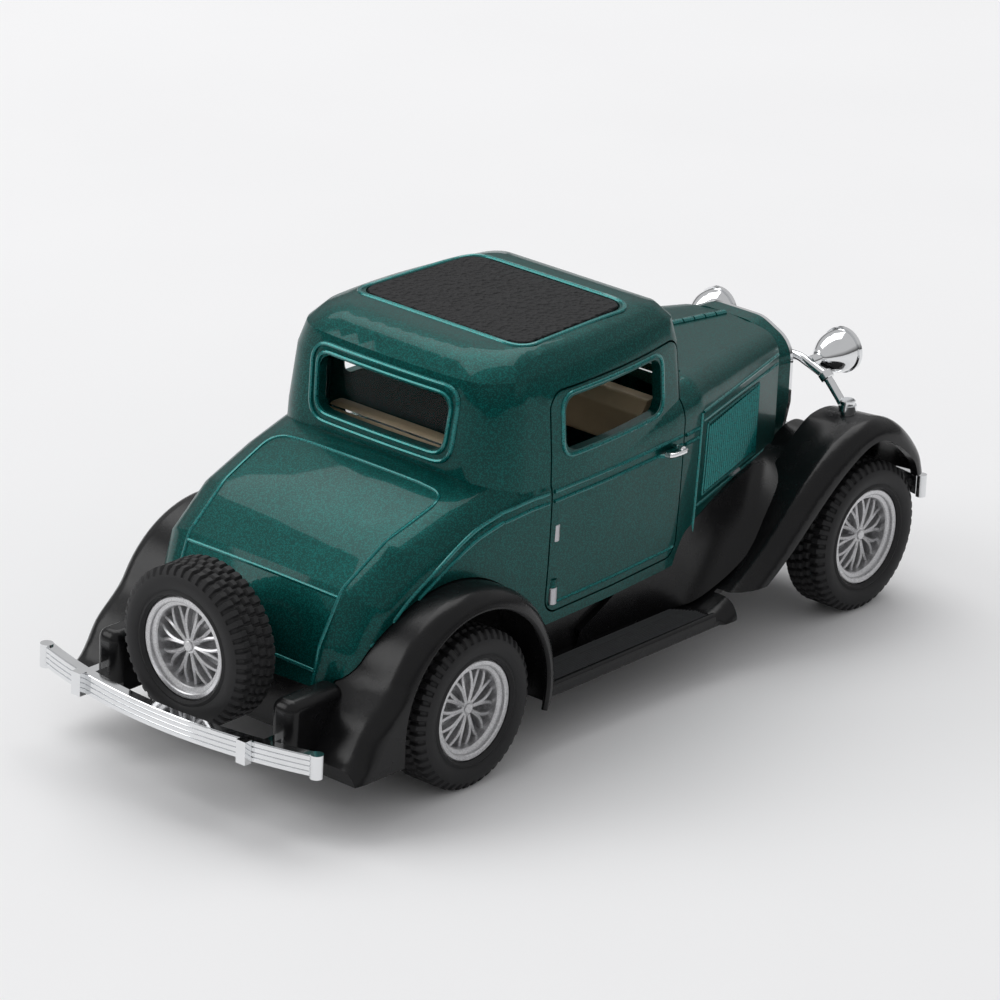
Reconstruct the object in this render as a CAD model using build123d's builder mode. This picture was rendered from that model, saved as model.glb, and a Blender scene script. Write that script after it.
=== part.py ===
from build123d import *
from math import cos, pi, radians, sin
import os

os.makedirs("parts", exist_ok=True)

# Collector car at 1:34, a three-window coupe with rear-hinged doors.
# Millimetres. +X forward, +Y to the car's left, +Z up. The origin is on the ground,
# in the middle of the car's length and width.

# ---------------------------------------------------------------- driving dimensions
wheelbase = 79.2
rear_axle_x = -31.0
front_axle_x = rear_axle_x + wheelbase
tyre_radius = 10.2
axle_z = tyre_radius
tyre_width = 6.8
rim_radius = 6.5
axle_radius = 1.0
rear_wheel_y = 20.7
front_wheel_y = 19.0

wall = 1.2
sill_z = 14.6
cowl_x = 18.0
hood_front_x = 43.6
grille_front_x = 47.0
waist_x = -20.0
cabin_rear_x = -23.6
cabin_front_x = 15.2
roof_z = 50.4
door_rear_x = -13.4
door_front_x = 14.0
door_bottom_z = 16.0
door_top_z = 45.2
shut_gap = 0.25
board_z = 8.3
arch_radius = 15.4


# ---------------------------------------------------------------- body shape
# The skin is lofted through cross sections. Each section is a plane across the car,
# tilted back about a low pivot towards the tail, so that one surface runs from the
# cowl over the deck and down to the sill of the tail panel.
pivot_z = 2.0
foot = 2.0


def skin_section(x, tilt, height, foot_y, waist_y, deck_y, shoulder, crown, grow):
    """One closed section of the lower body, with its skin moved out by `grow`."""
    lean = radians(tilt)
    across = Plane(origin=(x, 0, pivot_z), x_dir=(0, 1, 0), z_dir=(cos(lean), 0, -sin(lean)))
    top = height + grow
    edge = deck_y + grow
    bend = shoulder + 0.6 * grow
    start = (foot_y + grow, foot)
    waist = (waist_y + grow, foot + 0.62 * (top - foot - shoulder))
    knee = (edge, top - crown - bend)
    lip = (edge - bend, top - 0.75 * crown * (1 - bend / edge))
    knee_pull = (edge, knee[1] + 0.6 * (lip[1] - knee[1]))
    lip_pull = (lip[0] + 0.6 * bend, lip[1] - 0.10 * bend)
    with BuildSketch(across) as section:
        with BuildLine():
            ThreePointArc(start, waist, knee)
            Bezier(knee, knee_pull, lip_pull, lip)
            ThreePointArc(lip, (0, top), (-lip[0], lip[1]))
            Bezier((-lip[0], lip[1]), (-lip_pull[0], lip_pull[1]), (-edge, knee_pull[1]), (-edge, knee[1]))
            ThreePointArc((-edge, knee[1]), (-waist[0], waist[1]), (-start[0], foot))
            Line((-start[0], foot), start)
        make_face()
    return section.sketch.faces()[0]


# x, tilt, height over the pivot, half widths at foot, waist and deck, shoulder, crown
cowl_station = (cowl_x, 0, 37.4, 15.6, 16.9, 17.3, 3.6, 1.6)
body_stations = (
    (hood_front_x, 0, 34.7, 8.9, 9.2, 9.2, 3.0, 1.0),
    cowl_station,
    (12.0, 0, 37.0, 16.5, 17.9, 18.1, 3.7, 1.6),
    (0.0, 0, 36.2, 17.3, 18.8, 19.0, 3.9, 1.5),
    (-12.0, 0, 35.4, 17.6, 19.2, 19.4, 4.3, 1.3),
    (waist_x, 0, 34.7, 17.6, 19.2, 19.4, 4.7, 1.2),
    (waist_x, -15, 33.6, 17.2, 19.0, 19.2, 5.0, 1.1),
    (waist_x, -30, 34.0, 16.6, 18.6, 18.8, 5.0, 1.0),
    (waist_x, -44, 34.3, 15.8, 17.9, 18.1, 5.0, 0.9),
    (waist_x, -56, 32.5, 15.0, 17.0, 17.2, 5.0, 0.8),
    (waist_x, -68, 30.2, 14.2, 16.0, 16.2, 5.0, 0.8),
)


def lower_skin(grow):
    """The lower body as a solid: hood, cowl, waist, deck and tail."""
    with BuildPart() as skin:
        loft(sections=[skin_section(*s, grow) for s in body_stations], ruled=True)
    return skin.part


# height, rear x, front x, half widths at the rear, the door and the front, corner radius
cabin_levels = (
    (30.0, cabin_rear_x - 0.4, cabin_front_x + 1.2, 18.9, 19.1, 17.2, 6.0),
    (37.0, cabin_rear_x, cabin_front_x + 0.6, 18.7, 18.9, 16.9, 6.0),
    (44.4, cabin_rear_x + 0.7, cabin_front_x, 18.1, 18.3, 16.3, 6.0),
    (47.4, cabin_rear_x + 1.4, cabin_front_x - 0.4, 17.3, 17.5, 15.5, 6.0),
    (49.2, cabin_rear_x + 3.2, cabin_front_x - 2.0, 15.8, 16.0, 14.1, 5.6),
    (roof_z - 0.35, cabin_rear_x + 5.4, cabin_front_x - 4.6, 13.9, 14.0, 12.3, 5.0),
    (roof_z, cabin_rear_x + 7.6, cabin_front_x - 7.4, 11.6, 11.7, 10.2, 4.0),
)


def cabin_outline(level, rear_x, front_x, rear_y, door_y, front_y, corner, grow):
    """One level of the cabin: a tapered rectangle with bowed sides and round corners."""
    back = rear_x - grow
    front = front_x + grow
    rear = rear_y + grow
    door = door_y + grow
    nose = front_y + grow
    bend = 0.45 * corner
    with BuildSketch(Plane.XY.offset(level)) as outline:
        with BuildLine():
            side = ThreePointArc((back + corner, rear), (-4.0, door + 0.15), (front - bend, nose))
            nose_corner = Bezier(
                side @ 1,
                (side @ 1) + (side % 1) * 0.6 * bend,
                (front, nose - 0.5 * bend),
                (front, nose - bend),
            )
            back_corner = Bezier(
                side @ 0,
                (side @ 0) - (side % 0) * 0.58 * corner,
                (back + 0.1, rear - 0.42 * corner),
                (back, rear - corner),
            )
            mirror(about=Plane.XZ)
            Line(nose_corner @ 1, (front, bend - nose))
            ThreePointArc(back_corner @ 1, (back - 0.5, 0), (back, corner - rear))
        make_face()
    return outline.sketch.faces()[0]


def cabin_skin(grow, floor_z, lid_drop):
    """The cabin as a solid, from floor_z up, with its roof lowered by lid_drop."""
    levels = [list(level) for level in cabin_levels]
    levels[0][0] = floor_z
    for level in levels[3:]:
        level[0] -= lid_drop
    with BuildPart() as skin:
        loft(sections=[cabin_outline(*level, grow) for level in levels], ruled=True)
    return skin.part


lower_outer = lower_skin(0)
lower_inner = lower_skin(-wall)
cabin_outer = cabin_skin(0, 30.0, 0)
cabin_inner = cabin_skin(-wall, 24.0, wall)


def side_prism(outline, near_y, far_y):
    """A solid with a side-view outline, between two distances to the car's left."""
    with BuildPart() as prism:
        with BuildSketch(Plane.XZ.offset(-near_y)):
            add(outline)
        extrude(amount=near_y - far_y)
    return prism.part



def rounded_window(low, high, corner):
    """A side-view rectangle with round corners between two (x, z) corners."""
    with BuildSketch() as sketch:
        with Locations(((low[0] + high[0]) / 2, (low[1] + high[1]) / 2)):
            RectangleRounded(high[0] - low[0], high[1] - low[1], corner)
    return sketch.sketch


def front_prism(outline, back_x, front_x):
    """A solid with a front-view (y, z) outline, between two x positions."""
    across = Plane(origin=(back_x, 0, 0), x_dir=(0, 1, 0), z_dir=(1, 0, 0))
    with BuildPart() as prism:
        with BuildSketch(across):
            add(outline)
        extrude(amount=front_x - back_x)
    return prism.part


def both_sides(piece):
    """A piece together with its mirror image on the car's other side."""
    return [piece, piece.mirror(Plane.XZ)]


# ---------------------------------------------------------------- fender outlines
def rear_fender_outline(grow, low=7.0):
    """Side view of the rear fender: round over the wheel and drawn out to a rear tip."""
    reach = arch_radius + grow
    tail = 150
    with BuildSketch() as outline:
        with BuildLine():
            arch = CenterArc((rear_axle_x, axle_z), reach, -12, tail + 12)
            sweep_out = Spline(
                arch @ 1,
                (rear_axle_x - 18.3 - grow, 13.0),
                (rear_axle_x - 21.6 - grow, 8.6),
                tangents=(arch % 1, (-0.85, -0.5)),
            )
            drop = Line(sweep_out @ 1, (rear_axle_x - 21.6 - grow, low))
            base = Line(drop @ 1, ((arch @ 0).X, low))
            Line(base @ 1, arch @ 0)
        make_face()
    return outline.sketch


def front_fender_outline(grow):
    """Side view of the front fender: from the running board, over the wheel, to its tip."""
    with BuildSketch() as outline:
        with BuildLine():
            crest = Spline(
                (15.0, board_z + grow),
                (20.6, 10.0 + grow),
                (27.0 - 0.4 * grow, 14.0 + grow),
                (34.6 - 0.6 * grow, 20.4 + grow),
                (41.4 - 0.4 * grow, 24.8 + grow),
                (48.4, 26.6 + grow),
                (54.2 + 0.5 * grow, 24.4 + grow),
                (58.0 + 0.9 * grow, 20.4 + 0.4 * grow),
                (59.6 + grow, 16.0),
                tangents=((1.0, 0.10), (0.25, -1.0)),
            )
            tip = Line(crest @ 1, (59.6 + grow, 1.0))
            base = Line(tip @ 1, (15.0, 1.0))
            Line(base @ 1, crest @ 0)
        make_face()
    return outline.sketch


# ---------------------------------------------------------------- body shell
window_low = (-10.6, 36.9)
window_high = (9.2, 43.9)
door_corner = 2.4
lower_outer = lower_skin(0)
lower_inner = lower_skin(-wall)
cabin_outer = cabin_skin(0, 30.0, 0)
cabin_inner = cabin_skin(-wall, 24.0, wall)

with BuildPart() as whole_skin:
    add(lower_outer)
    add(cabin_outer)
    add(lower_inner, mode=Mode.SUBTRACT)
    add(cabin_inner, mode=Mode.SUBTRACT)
    with Locations((0, 0, sill_z / 2 - 5)):
        Box(200, 100, sill_z + 10, mode=Mode.SUBTRACT)

door_hole = side_prism(
    rounded_window((door_rear_x, door_bottom_z), (door_front_x, door_top_z), door_corner),
    11,
    25,
)
door_fill = side_prism(
    rounded_window(
        (door_rear_x + shut_gap, door_bottom_z + shut_gap),
        (door_front_x - shut_gap, door_top_z - shut_gap),
        door_corner - shut_gap,
    ),
    11,
    25,
)
window_hole = side_prism(rounded_window(window_low, window_high, 1.8), 11, 25)
arch_hole = side_prism(rear_fender_outline(0.15), 14.3, 25)
apron_drop = 3.6
crest_inner_y = 13.4
apron_hole = side_prism(front_fender_outline(0.1 - apron_drop), 5, 25)
crest_hole = side_prism(front_fender_outline(0.1), crest_inner_y - 0.1, 25)

with BuildSketch() as rear_window_outline:
    with BuildLine():
        FilletPolyline(
            (-10.2, 37.9), (10.2, 37.9), (10.8, 45.0), (-10.8, 45.0), radius=1.8, close=True
        )
    make_face()
with BuildSketch() as windscreen_outline:
    with BuildLine():
        FilletPolyline(
            (-13.2, 40.2), (13.2, 40.2), (12.8, 45.4), (-12.8, 45.4), radius=1.2, close=True
        )
    make_face()
with BuildSketch() as roof_panel_outline:
    with BuildLine():
        FilletPolyline((-13.4, -13.5), (7.3, -12.7), (7.3, 12.7), (-13.4, 13.5), radius=2.6, close=True)
    make_face()
with BuildSketch() as radiator_outline:
    with BuildLine():
        FilletPolyline(
            (-7.4, 16.6),
            (7.4, 16.6),
            (9.2, 26.0),
            (9.2, 34.2),
            (4.0, 36.7),
            (-4.0, 36.7),
            (-9.2, 34.2),
            (-9.2, 26.0),
            radius=(1.4, 1.4, 2.0, 4.0, 5.0, 5.0, 4.0, 2.0),
            close=True,
        )
    make_face()

roof_panel_z = 49.55
post_places = (26.0, -43.0)
post_low_z = 8.4
post_radius = 2.2
screw_radius = 0.8
radiator_wall = 1.1

with BuildPart() as body_shell:
    add(whole_skin.part)
    for hole in both_sides(door_hole):
        add(hole, mode=Mode.SUBTRACT)
    for low_hole in (arch_hole, apron_hole, crest_hole):
        for hole in both_sides(low_hole):
            add(hole, mode=Mode.SUBTRACT)
    add(front_prism(rear_window_outline.sketch, -26, -19), mode=Mode.SUBTRACT)
    add(front_prism(windscreen_outline.sketch, 12.8, 18), mode=Mode.SUBTRACT)
    with BuildSketch(Plane.XY.offset(roof_panel_z)):
        add(roof_panel_outline.sketch)
        offset(amount=0.2)
    extrude(amount=3, mode=Mode.SUBTRACT)
    add(front_prism(radiator_outline.sketch, hood_front_x, grille_front_x - 0.9))
    with BuildSketch(Plane(origin=(hood_front_x, 0, 0), x_dir=(0, 1, 0), z_dir=(1, 0, 0))):
        add(radiator_outline.sketch)
        offset(amount=-radiator_wall)
    extrude(amount=6, mode=Mode.SUBTRACT)
    for x in post_places:
        with BuildSketch(Plane.XY.offset(post_low_z)):
            with Locations((x, 0)):
                Circle(post_radius)
        extrude(until=Until.NEXT)
        with Locations((x, 0, post_low_z)):
            Hole(screw_radius, depth=6)

body_shell.part.label = "body_shell"
export_step(body_shell.part, "parts/body_shell.step")

# ---------------------------------------------------------------- doors
# Each door hangs at its rear edge on two outside knuckles, just under the skin line.
hinge_x = door_rear_x + 1.5
hinge_y = 18.7
knuckle_radius = 0.7
knuckle_length = 2.2
knuckle_levels = (18.4, 26.8)
handle_x = door_front_x - 2.6
handle_z = 31.4

with BuildPart() as door_left:
    add(whole_skin.part)
    add(door_fill, mode=Mode.INTERSECT)
    add(window_hole, mode=Mode.SUBTRACT)
    for level in knuckle_levels:
        with BuildSketch(Plane.XY.offset(level)):
            with Locations((hinge_x, hinge_y)):
                Circle(knuckle_radius)
            with Locations((hinge_x + 0.6, hinge_y - 0.6)):
                Rectangle(1.2, 1.2)
        extrude(amount=knuckle_length)
    with Locations((handle_x, 18.5, handle_z)):
        Box(1.0, 1.4, 0.8)
    with Locations((handle_x - 0.9, 19.0, handle_z)):
        Box(3.0, 0.5, 0.8)
door_left.part.label = "door_left"
export_step(door_left.part, "parts/door_left.step")

with BuildPart() as door_right:
    add(door_left.part)
    mirror(about=Plane.XZ, mode=Mode.REPLACE)
door_right.part.label = "door_right"
export_step(door_right.part, "parts/door_right.step")

# ---------------------------------------------------------------- roof panel and glass
with BuildPart() as roof_panel:
    with BuildSketch(Plane.XY.offset(roof_panel_z)):
        add(roof_panel_outline.sketch)
    extrude(amount=0.65)
    fillet(roof_panel.faces().sort_by(Axis.Z)[-1].edges(), radius=0.3)
roof_panel.part.label = "roof_panel"
export_step(roof_panel.part, "parts/roof_panel.step")

glass_thickness = 0.7
with BuildPart() as windscreen:
    with BuildSketch(Plane(origin=(cabin_front_x - 2.4, 0, 0), x_dir=(0, 1, 0), z_dir=(1, 0, 0))):
        with Locations((0, 42.7)):
            Rectangle(26.8, 6.0)
    extrude(amount=glass_thickness)
windscreen.part.label = "windscreen"
export_step(windscreen.part, "parts/windscreen.step")

with BuildPart() as rear_glass:
    with BuildSketch(Plane(origin=(cabin_rear_x + 2.5, 0, 0), x_dir=(0, 1, 0), z_dir=(1, 0, 0))):
        with Locations((0, 41.4)):
            Rectangle(23.6, 7.9)
    extrude(amount=glass_thickness)
rear_glass.part.label = "rear_glass"
export_step(rear_glass.part, "parts/rear_glass.step")

# ---------------------------------------------------------------- radiator grille
grille_bars = 11
with BuildPart() as radiator_grille:
    add(front_prism(radiator_outline.sketch, grille_front_x - 0.9, grille_front_x - 0.35))
    with BuildSketch(Plane(origin=(hood_front_x + 0.6, 0, 0), x_dir=(0, 1, 0), z_dir=(1, 0, 0))):
        add(radiator_outline.sketch)
        offset(amount=-radiator_wall - 0.1)
    extrude(amount=grille_front_x - 0.9 - hood_front_x - 0.6)
    with BuildSketch(Plane(origin=(grille_front_x - 1.3, 0, 0), x_dir=(0, 1, 0), z_dir=(1, 0, 0))):
        add(radiator_outline.sketch)
        offset(amount=-radiator_wall)
    extrude(amount=3, mode=Mode.SUBTRACT)
    with Locations((grille_front_x - 0.95, 0, 26.2)):
        with GridLocations(0, 1.15, 1, grille_bars):
            Box(0.8, 0.45, 17.2)
radiator_grille.part.label = "radiator_grille"
export_step(radiator_grille.part, "parts/radiator_grille.step")

# ---------------------------------------------------------------- fender moulding
skin = 1.2
rear_inner_y = 14.6
rear_outer_y = 24.3
front_outer_y = 23.2
apron_inner_y = 8.8
crown_radius = 2.6
board_outer_y = 22.6
board_inner_y = 15.4
board_start_x = rear_axle_x + arch_radius - 0.6
board_end_x = 16.4
board_thickness = 1.3
rib_count = 12
slot_half = axle_radius + 0.06
deck_z = 8.4
deck_thickness = 1.2
lobe_y = 14.6
iron_y = 8.6


def fender(outline, inner_outline, inner_y, outer_y, opening):
    """A hollow fender: crowned shell, closed on the inside, cut open over the wheel."""
    with BuildPart() as shell:
        with BuildSketch(Plane.XZ.offset(-outer_y)):
            add(outline)
        extrude(amount=outer_y - inner_y)
        outside = shell.faces().sort_by(Axis.Y)[-1]
        fillet(outside.edges().filter_by(lambda e: e.bounding_box().max.Z > 12), radius=crown_radius)
        with BuildSketch(Plane.XZ.offset(-outer_y + skin)):
            add(inner_outline)
        extrude(amount=outer_y - inner_y - 2 * skin, mode=Mode.SUBTRACT)
        with BuildSketch(Plane.XZ.offset(-outer_y - 1)):
            add(opening)
        extrude(amount=5, mode=Mode.SUBTRACT)
        with Locations((0, 0, 3.5)):
            Box(200, 100, 7.0, mode=Mode.SUBTRACT)
    return shell.part


with BuildSketch() as rear_wheel_opening:
    with Locations((rear_axle_x, axle_z)):
        Circle(arch_radius - 2.2)
    with Locations((rear_axle_x, axle_z - 8)):
        Rectangle(2 * (arch_radius - 2.2), 16)
with BuildSketch() as front_wheel_opening:
    add(front_fender_outline(-2.6))
    with Locations((40.0, 6.0)):
        Rectangle(40.0, 8.0)
with BuildSketch() as apron_outline:
    add(front_fender_outline(-apron_drop))
    add(front_fender_outline(-apron_drop - skin), mode=Mode.SUBTRACT)
    with Locations((0, 0)):
        Rectangle(200, 16.8, mode=Mode.SUBTRACT)

rear_fender = fender(
    rear_fender_outline(0),
    rear_fender_outline(-skin, 1.0),
    rear_inner_y,
    rear_outer_y,
    rear_wheel_opening.sketch,
)
front_fender = fender(
    front_fender_outline(0),
    front_fender_outline(-skin),
    crest_inner_y,
    front_outer_y,
    front_wheel_opening.sketch,
)
apron = side_prism(apron_outline.sketch, apron_inner_y, crest_inner_y + 0.2)
nose_cut = Box(16, 60, 16.8, align=(Align.MIN, Align.CENTER, Align.MIN)).moved(Location((49.6, 0, 0)))

with BuildPart() as running_board:
    with BuildSketch(Plane.YZ.offset(board_start_x)):
        with Locations(((board_outer_y + board_inner_y) / 2, board_z - board_thickness / 2)):
            Rectangle(board_outer_y - board_inner_y, board_thickness)
        with Locations((board_outer_y - 0.5, board_z - 0.1)):
            Circle(0.55)
        rib_step = (board_outer_y - 1.3 - board_inner_y - 1.2) / rib_count
        for rib in range(rib_count):
            with Locations((board_outer_y - 1.5 - rib * rib_step, board_z)):
                Rectangle(0.22, 0.4)
        with Locations((board_inner_y + 0.6, (deck_z + sill_z) / 2)):
            Rectangle(skin, sill_z - deck_z)
    extrude(amount=board_end_x - board_start_x)

with BuildPart() as tail_lobe:
    with Locations((-51.0, lobe_y, 12.8)):
        Box(9.6, 3.8, 6.6)
    fillet(tail_lobe.edges().filter_by(lambda e: e.center().Z > 10), radius=1.4)

with BuildPart() as side_moulding:
    add(rear_fender)
    add(front_fender - nose_cut)
    add(apron - nose_cut)
    add(running_board.part)
    add(tail_lobe.part)
    with Locations((48.0, iron_y, 11.9)):
        Box(5.0, 1.4, 6.2)
    with Locations((54.0, iron_y, 14.2)):
        Box(13.2, 1.4, 1.6)

with BuildPart() as axle_slots:
    for x in (rear_axle_x, front_axle_x):
        with BuildSketch(Plane.XZ.offset(-30)):
            with Locations((x, axle_z)):
                Circle(slot_half)
            with Locations((x, axle_z - 5)):
                Rectangle(2 * slot_half, 10)
        extrude(amount=60)

with BuildPart() as post_wells:
    with BuildSketch(Plane.XY.offset(deck_z - 1)):
        with Locations([(x, 0) for x in post_places]):
            Circle(post_radius + 0.1)
    extrude(amount=4)

motor_bay = (-41.8, -19.6, 6.4)
with BuildPart() as deck_half:
    with BuildSketch(Plane.XY.offset(deck_z)):
        with Locations((board_start_x, 0)):
            Rectangle(board_end_x - board_start_x, board_inner_y + 0.2, align=Align.MIN)
        with Locations((board_end_x - 0.1, 0)):
            Rectangle(50.5 - board_end_x, crest_inner_y + 0.3, align=Align.MIN)
        with Locations((-47.4, 0)):
            Rectangle(board_start_x + 47.5, rear_inner_y + 0.3, align=Align.MIN)
        with Locations((motor_bay[0], -1)):
            Rectangle(motor_bay[1] - motor_bay[0], motor_bay[2] + 1, align=Align.MIN, mode=Mode.SUBTRACT)
    extrude(amount=deck_thickness)
    with Locations((-46.8, 0, deck_z + 0.1)):
        Box(1.2, rear_inner_y + 0.4, sill_z - deck_z - 0.1, align=(Align.CENTER, Align.MIN, Align.MIN))

moulding_half = deck_half.part + side_moulding.part
half_slotted = moulding_half - axle_slots.part
half_done = half_slotted - post_wells.part
with BuildPart() as fender_moulding:
    add(half_done)
    mirror(about=Plane.XZ)
fender_moulding.part.label = "fender_moulding"
export_step(fender_moulding.part, "parts/fender_moulding.step")

# ---------------------------------------------------------------- chassis pan and screws
pan_low_z = 6.6
pan_half_y = 11.6
with BuildPart() as chassis_pan:
    with BuildSketch(Plane.XY.offset(pan_low_z)):
        with Locations((2.75, 0)):
            Rectangle(97.5, 2 * pan_half_y)
    extrude(amount=deck_z - pan_low_z)
    fillet(chassis_pan.edges().filter_by(Axis.Z), radius=3.0)
    for x in (rear_axle_x, front_axle_x):
        with Locations((x, 0, axle_z - slot_half - 0.8)):
            Box(2 * slot_half - 0.06, 2 * pan_half_y - 0.4, 1.6)
    with Locations(((motor_bay[0] + motor_bay[1]) / 2, 0, 7)):
        Box(motor_bay[1] - motor_bay[0], 2 * motor_bay[2], 6, mode=Mode.SUBTRACT)
    with BuildSketch(Plane.XY.offset(pan_low_z)):
        with Locations([(x, 0) for x in post_places]):
            Circle(screw_radius + 0.1)
    extrude(amount=4, mode=Mode.SUBTRACT)
    with BuildSketch(Plane.XY.offset(pan_low_z)):
        with Locations([(x, 0) for x in post_places]):
            Circle(2.0)
    extrude(amount=0.8, mode=Mode.SUBTRACT)
chassis_pan.part.label = "chassis_pan"
export_step(chassis_pan.part, "parts/chassis_pan.step")

with BuildPart() as chassis_screws:
    for x in post_places:
        with Locations((x, 0, pan_low_z + 0.1)):
            Cylinder(1.8, 0.7, align=(Align.CENTER, Align.CENTER, Align.MIN))
            Cylinder(screw_radius, 7.0, align=(Align.CENTER, Align.CENTER, Align.MIN))
        with Locations((x, 0, pan_low_z + 0.1)):
            Box(2.4, 0.5, 0.5, mode=Mode.SUBTRACT)
            Box(0.5, 2.4, 0.5, mode=Mode.SUBTRACT)
chassis_screws.part.label = "chassis_screws"
export_step(chassis_screws.part, "parts/chassis_screws.step")

# ---------------------------------------------------------------- cabin interior
tub_rear_x = -21.0
tub_front_x = 13.0
tub_half_y = 14.4
tub_floor_z = 15.0

with BuildPart() as interior_tub:
    with Locations(((tub_rear_x + tub_front_x) / 2, 0, tub_floor_z)):
        Box(tub_front_x - tub_rear_x, 2 * tub_half_y, 1.0)
    for side in (1, -1):
        with Locations(((tub_rear_x + tub_front_x) / 2, side * (tub_half_y - 0.5), tub_floor_z + 2.0)):
            Box(tub_front_x - tub_rear_x, 1.0, 4.0)
    with Locations((tub_rear_x + 0.5, 0, tub_floor_z + 10.0)):
        Box(1.0, 2 * tub_half_y, 20.0)
    with Locations((tub_rear_x + 0.8, 0, tub_floor_z + 20.0)):
        Box(1.6, 2 * tub_half_y, 1.0)
interior_tub.part.label = "interior_tub"
export_step(interior_tub.part, "parts/interior_tub.step")

with BuildPart() as seat_outline:
    with BuildSketch(Plane.XZ.offset(-tub_half_y + 1.4)):
        with BuildLine():
            FilletPolyline(
                (-5.0, 15.6), (-4.0, 24.6), (-13.0, 23.4), (-16.2, 37.0), (-19.2, 37.0), (-19.2, 15.6),
                radius=1.2,
                close=True,
            )
        make_face()
    extrude(amount=2 * tub_half_y - 2.8)
with BuildPart() as bench_seat:
    add(seat_outline.part)
    fillet(bench_seat.faces().sort_by(Axis.Y)[-1].edges(), radius=0.8)
    fillet(bench_seat.faces().sort_by(Axis.Y)[0].edges(), radius=0.8)
bench_seat.part.label = "bench_seat"
export_step(bench_seat.part, "parts/bench_seat.step")

with BuildPart() as dashboard:
    with BuildSketch(Plane.XZ.offset(-tub_half_y)):
        with BuildLine():
            FilletPolyline(
                (10.0, 30.0), (9.2, 35.2), (10.4, 37.0), (12.6, 37.0), (12.6, 30.0), radius=0.6, close=True
            )
        make_face()
    extrude(amount=2 * tub_half_y)
dashboard.part.label = "dashboard"
export_step(dashboard.part, "parts/dashboard.step")

wheel_hub = Plane(origin=(4.6, 7.4, 32.6), x_dir=(0, 1, 0), z_dir=(-0.62, 0, 0.78))
with BuildPart() as steering_wheel:
    with BuildSketch(Plane(origin=wheel_hub.origin, x_dir=wheel_hub.z_dir, z_dir=(0, 1, 0))):
        with Locations((0, 3.7)):
            Circle(0.42)
    revolve(axis=Axis(wheel_hub.origin, wheel_hub.z_dir))
    with BuildSketch(wheel_hub):
        with PolarLocations(0, 3):
            Rectangle(3.7, 0.6, align=(Align.MIN, Align.CENTER))
        Circle(0.9)
    extrude(amount=-0.7)
steering_wheel.part.label = "steering_wheel"
export_step(steering_wheel.part, "parts/steering_wheel.step")

with BuildPart() as steering_column:
    with BuildSketch(wheel_hub.offset(-0.7)):
        Circle(0.55)
    extrude(amount=-6.2)
    add(dashboard.part, mode=Mode.SUBTRACT)
steering_column.part.label = "steering_column"
export_step(steering_column.part, "parts/steering_column.step")

# ---------------------------------------------------------------- bumpers
bumper_reach = 62.0
rear_bumper_z = 9.8
front_bumper_z = 13.2
rib_pitch = 0.66
rear_ribs = 4
front_ribs = 4


def bumper(reach, end_x, end_y, low_z, ribs, thickness, knob):
    """A chrome bumper blade: a bow across the car, ribbed along its face."""
    with BuildPart() as blade:
        for rib in range(ribs):
            for depth, low, high in ((0.0, 0.08, 0.58), (0.22, 0.0, rib_pitch)):
                with BuildSketch(Plane.XY.offset(low_z + rib * rib_pitch + low)):
                    with BuildLine():
                        face = ThreePointArc(
                            (end_x - depth, -end_y),
                            (reach - depth, 0),
                            (end_x - depth, end_y),
                        )
                        Line(face @ 1, (end_x - thickness, end_y))
                        back = ThreePointArc(
                            (end_x - thickness, -end_y),
                            (reach - thickness, 0),
                            (end_x - thickness, end_y),
                        )
                        Line(back @ 0, face @ 0)
                    make_face()
                extrude(amount=high - low)
        for side in (1, -1):
            with BuildSketch(Plane.XY.offset(low_z - 0.2)):
                with Locations((end_x - 0.5, side * end_y)):
                    Circle(knob)
            extrude(amount=ribs * rib_pitch + 0.4)
    return blade.part


clamp_y = 13.8
with BuildPart() as rear_bumper:
    add(bumper(bumper_reach, 58.4, 22.6, rear_bumper_z, rear_ribs, 1.5, 0.85).mirror(Plane.YZ))
    for side in (1, -1):
        with Locations((-57.6, side * lobe_y, rear_bumper_z + 1.3)):
            Box(5.2, 1.4, 1.2)
        with Locations((-61.1, side * clamp_y, rear_bumper_z + 1.32)):
            Box(1.1, 1.5, 3.0)
    add(fender_moulding.part, mode=Mode.SUBTRACT)
rear_bumper.part.label = "rear_bumper"
export_step(rear_bumper.part, "parts/rear_bumper.step")

with BuildPart() as front_bumper:
    add(bumper(bumper_reach, 59.8, 22.0, front_bumper_z, front_ribs, 1.1, 0.7))
    for side in (1, -1):
        with Locations((61.2, side * iron_y, front_bumper_z + 1.32)):
            Box(1.2, 1.5, 3.0)
    add(fender_moulding.part, mode=Mode.SUBTRACT)
front_bumper.part.label = "front_bumper"
export_step(front_bumper.part, "parts/front_bumper.step")

# ---------------------------------------------------------------- headlamps
lamp_bar_x = 48.4
lamp_y = 10.6
lamp_z = 31.5
lamp_x = 53.2
lamp_radius = 2.9

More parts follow.
